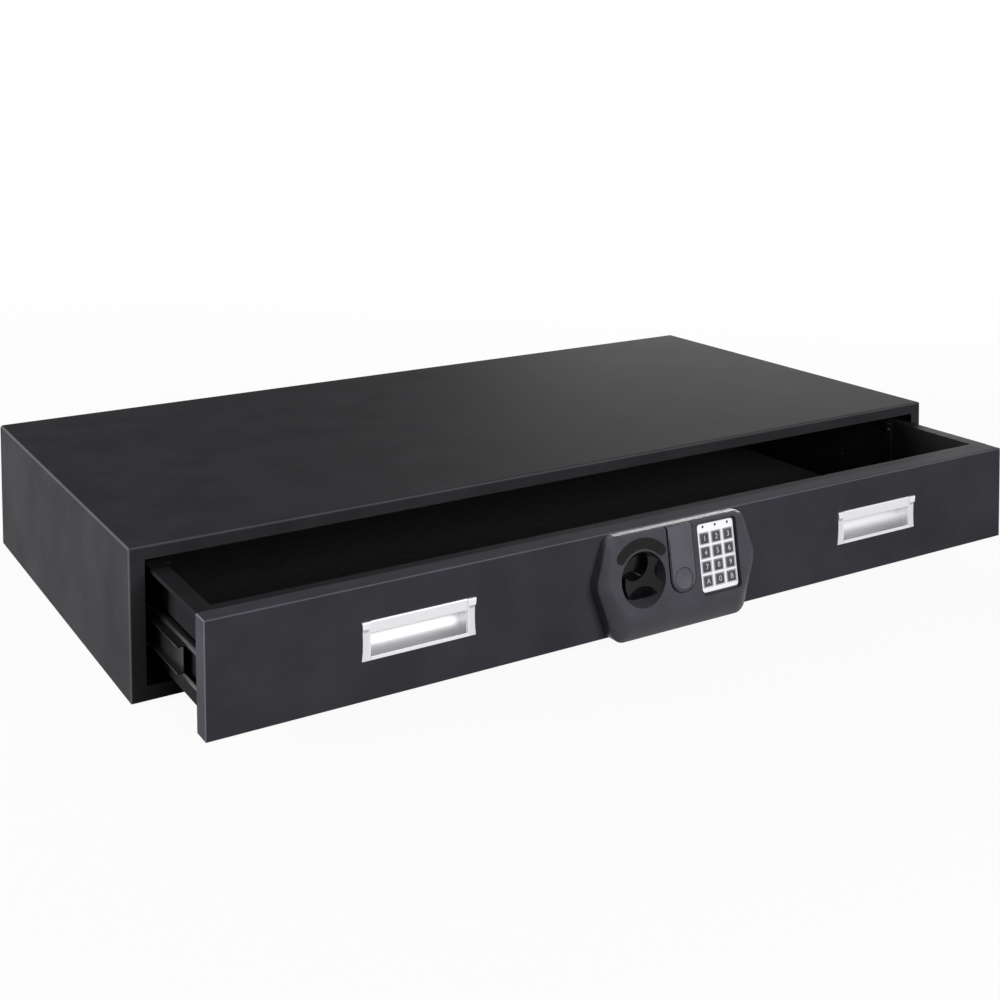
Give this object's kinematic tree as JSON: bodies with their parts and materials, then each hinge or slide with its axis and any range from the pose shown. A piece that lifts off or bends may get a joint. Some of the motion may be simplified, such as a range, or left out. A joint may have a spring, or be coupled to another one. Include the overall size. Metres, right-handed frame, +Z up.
{
  "type": "under-bed safe",
  "caption": "Low, wide steel safe with a full-width drawer on ball slides, recessed pull handles and a moulded lock with keypad and knob.",
  "frame": {"origin": "middle of the casing's flat underside", "axes": "+X to the right seen from the front, +Y back into the casing, +Z up; the drawer runs out along -Y"},
  "size_m": [1.219, 0.8131, 0.175],
  "materials": {
    "case_steel": "fine matt charcoal powder coat",
    "drawer_steel": "fine matt charcoal powder coat",
    "tray_steel": "satin black powder coat",
    "slide_steel": "black zinc finish",
    "bearing_steel": "polished balls in a plain strip",
    "felt": "needle felt, near black with pale flecks",
    "handle_metal": "satin anodised",
    "lock_plastic": "fine grained satin",
    "knob_plastic": "satin",
    "keypad_metal": "bead-blasted silver",
    "key_plastic": "dark grey with printed characters",
    "lamp_plastic": "tinted lens, off",
    "board": "solder-masked board",
    "zinc_steel": "bright zinc plate",
    "bronze": "sintered bronze",
    "coil": "taped winding",
    "battery_skin": "plain plastic sleeve"
  },
  "bodies": {
    "casing": {"case_shell": "case_steel", "case_back": "case_steel", "slide_spacer_left": "tray_steel", "slide_spacer_right": "tray_steel", "slide_outer_left": "slide_steel", "slide_outer_right": "slide_steel", "slide_screws_case": "zinc_steel"},
    "drawer": {"drawer_tray": "tray_steel", "drawer_front_wall": "tray_steel", "drawer_back": "tray_steel", "floor_liner": "felt", "front_panel": "drawer_steel", "slide_inner_left": "slide_steel", "slide_inner_right": "slide_steel", "slide_screws_drawer": "zinc_steel", "side_strap_left": "tray_steel", "side_strap_right": "tray_steel", "strap_bolts": "zinc_steel", "handle_left": "handle_metal", "handle_right": "handle_metal", "handle_screws": "zinc_steel", "lock_housing": "lock_plastic", "housing_screws": "zinc_steel", "keypad_plate": "keypad_metal", "keypad_board": "board", "key_switches": "battery_skin", "indicator_lamps": "lamp_plastic", "key_lock_body": "zinc_steel", "spindle_bush": "bronze", "bolt_guide": "zinc_steel", "guide_pins": "zinc_steel", "solenoid": "coil", "battery_holder": "knob_plastic", "batteries": "battery_skin"},
    "middle_left": {"slide_middle_left": "slide_steel"},
    "middle_right": {"slide_middle_right": "slide_steel"},
    "outer_balls_left": {"outer_cage_left": "bearing_steel"},
    "outer_balls_right": {"outer_cage_right": "bearing_steel"},
    "inner_balls_left": {"inner_cage_left": "bearing_steel"},
    "inner_balls_right": {"inner_cage_right": "bearing_steel"},
    "knob_set": {"knob": "knob_plastic", "pinion_spindle": "zinc_steel"},
    "bolt_set": {"bolt_carriage": "zinc_steel", "live_bolts": "zinc_steel"},
    "key_cover_plate": {"key_cover": "lock_plastic"},
    "key_cylinder": {"key_plug": "bronze"},
    "plunger": {"solenoid_plunger": "zinc_steel"},
    "key_1_cap": {"key_1": "key_plastic"},
    "key_2_cap": {"key_2": "key_plastic"},
    "key_3_cap": {"key_3": "key_plastic"},
    "key_4_cap": {"key_4": "key_plastic"},
    "key_5_cap": {"key_5": "key_plastic"},
    "key_6_cap": {"key_6": "key_plastic"},
    "key_7_cap": {"key_7": "key_plastic"},
    "key_8_cap": {"key_8": "key_plastic"},
    "key_9_cap": {"key_9": "key_plastic"},
    "key_a_cap": {"key_a": "key_plastic"},
    "key_0_cap": {"key_0": "key_plastic"},
    "key_b_cap": {"key_b": "key_plastic"}
  },
  "joints": [
    {"name": "drawer_slide", "type": "slide", "parent": "casing", "child": "drawer", "axis": [0, -1, 0], "range_m": [-0.174, 0.326]},
    {"name": "middle_left_slide", "type": "slide", "parent": "casing", "child": "middle_left", "axis": [0, -1, 0], "range_m": [-0.087, 0.163]},
    {"name": "outer_balls_left_slide", "type": "slide", "parent": "casing", "child": "outer_balls_left", "axis": [0, -1, 0], "range_m": [-0.0435, 0.0815]},
    {"name": "inner_balls_left_slide", "type": "slide", "parent": "casing", "child": "inner_balls_left", "axis": [0, -1, 0], "range_m": [-0.1305, 0.2445]},
    {"name": "middle_right_slide", "type": "slide", "parent": "casing", "child": "middle_right", "axis": [0, -1, 0], "range_m": [-0.087, 0.163]},
    {"name": "outer_balls_right_slide", "type": "slide", "parent": "casing", "child": "outer_balls_right", "axis": [0, -1, 0], "range_m": [-0.0435, 0.0815]},
    {"name": "inner_balls_right_slide", "type": "slide", "parent": "casing", "child": "inner_balls_right", "axis": [0, -1, 0], "range_m": [-0.1305, 0.2445]},
    {"name": "knob_turn", "type": "hinge", "parent": "drawer", "child": "knob_set", "pos_m": [-0.0587, -0.476, 0.0943], "axis": [0, -1, 0], "range_deg": [0, 90]},
    {"name": "bolt_slide", "type": "slide", "parent": "drawer", "child": "bolt_set", "axis": [0, 0, -1], "range_m": [0, 0.01649]},
    {"name": "key_cover_slide", "type": "slide", "parent": "drawer", "child": "key_cover_plate", "axis": [0, 0.1564, 0.9877], "range_m": [0, 0.035]},
    {"name": "key_turn", "type": "hinge", "parent": "drawer", "child": "key_cylinder", "pos_m": [-0.0004, -0.476, 0.0843], "axis": [0, 1, 0], "range_deg": [0, 90]},
    {"name": "plunger_slide", "type": "slide", "parent": "drawer", "child": "plunger", "axis": [-1, 0, 0], "range_m": [0, 0.005]},
    {"name": "key_1_press", "type": "slide", "parent": "drawer", "child": "key_1_cap", "axis": [0, 0.9877, -0.1564], "range_m": [0, 0.0008], "stiffness_N_per_m": 600},
    {"name": "key_2_press", "type": "slide", "parent": "drawer", "child": "key_2_cap", "axis": [0, 0.9877, -0.1564], "range_m": [0, 0.0008], "stiffness_N_per_m": 600},
    {"name": "key_3_press", "type": "slide", "parent": "drawer", "child": "key_3_cap", "axis": [0, 0.9877, -0.1564], "range_m": [0, 0.0008], "stiffness_N_per_m": 600},
    {"name": "key_4_press", "type": "slide", "parent": "drawer", "child": "key_4_cap", "axis": [0, 0.9877, -0.1564], "range_m": [0, 0.0008], "stiffness_N_per_m": 600},
    {"name": "key_5_press", "type": "slide", "parent": "drawer", "child": "key_5_cap", "axis": [0, 0.9877, -0.1564], "range_m": [0, 0.0008], "stiffness_N_per_m": 600},
    {"name": "key_6_press", "type": "slide", "parent": "drawer", "child": "key_6_cap", "axis": [0, 0.9877, -0.1564], "range_m": [0, 0.0008], "stiffness_N_per_m": 600},
    {"name": "key_7_press", "type": "slide", "parent": "drawer", "child": "key_7_cap", "axis": [0, 0.9877, -0.1564], "range_m": [0, 0.0008], "stiffness_N_per_m": 600},
    {"name": "key_8_press", "type": "slide", "parent": "drawer", "child": "key_8_cap", "axis": [0, 0.9877, -0.1564], "range_m": [0, 0.0008], "stiffness_N_per_m": 600},
    {"name": "key_9_press", "type": "slide", "parent": "drawer", "child": "key_9_cap", "axis": [0, 0.9877, -0.1564], "range_m": [0, 0.0008], "stiffness_N_per_m": 600},
    {"name": "key_a_press", "type": "slide", "parent": "drawer", "child": "key_a_cap", "axis": [0, 0.9877, -0.1564], "range_m": [0, 0.0008], "stiffness_N_per_m": 600},
    {"name": "key_0_press", "type": "slide", "parent": "drawer", "child": "key_0_cap", "axis": [0, 0.9877, -0.1564], "range_m": [0, 0.0008], "stiffness_N_per_m": 600},
    {"name": "key_b_press", "type": "slide", "parent": "drawer", "child": "key_b_cap", "axis": [0, 0.9877, -0.1564], "range_m": [0, 0.0008], "stiffness_N_per_m": 600}
  ],
  "couplings": [
    {"joint": "middle_left_slide", "follows": "drawer_slide", "ratio": 0.5},
    {"joint": "outer_balls_left_slide", "follows": "drawer_slide", "ratio": 0.25},
    {"joint": "inner_balls_left_slide", "follows": "drawer_slide", "ratio": 0.75},
    {"joint": "middle_right_slide", "follows": "drawer_slide", "ratio": 0.5},
    {"joint": "outer_balls_right_slide", "follows": "drawer_slide", "ratio": 0.25},
    {"joint": "inner_balls_right_slide", "follows": "drawer_slide", "ratio": 0.75},
    {"joint": "knob_turn", "follows": "bolt_slide", "rad_per_m": 95.238}
  ]
}
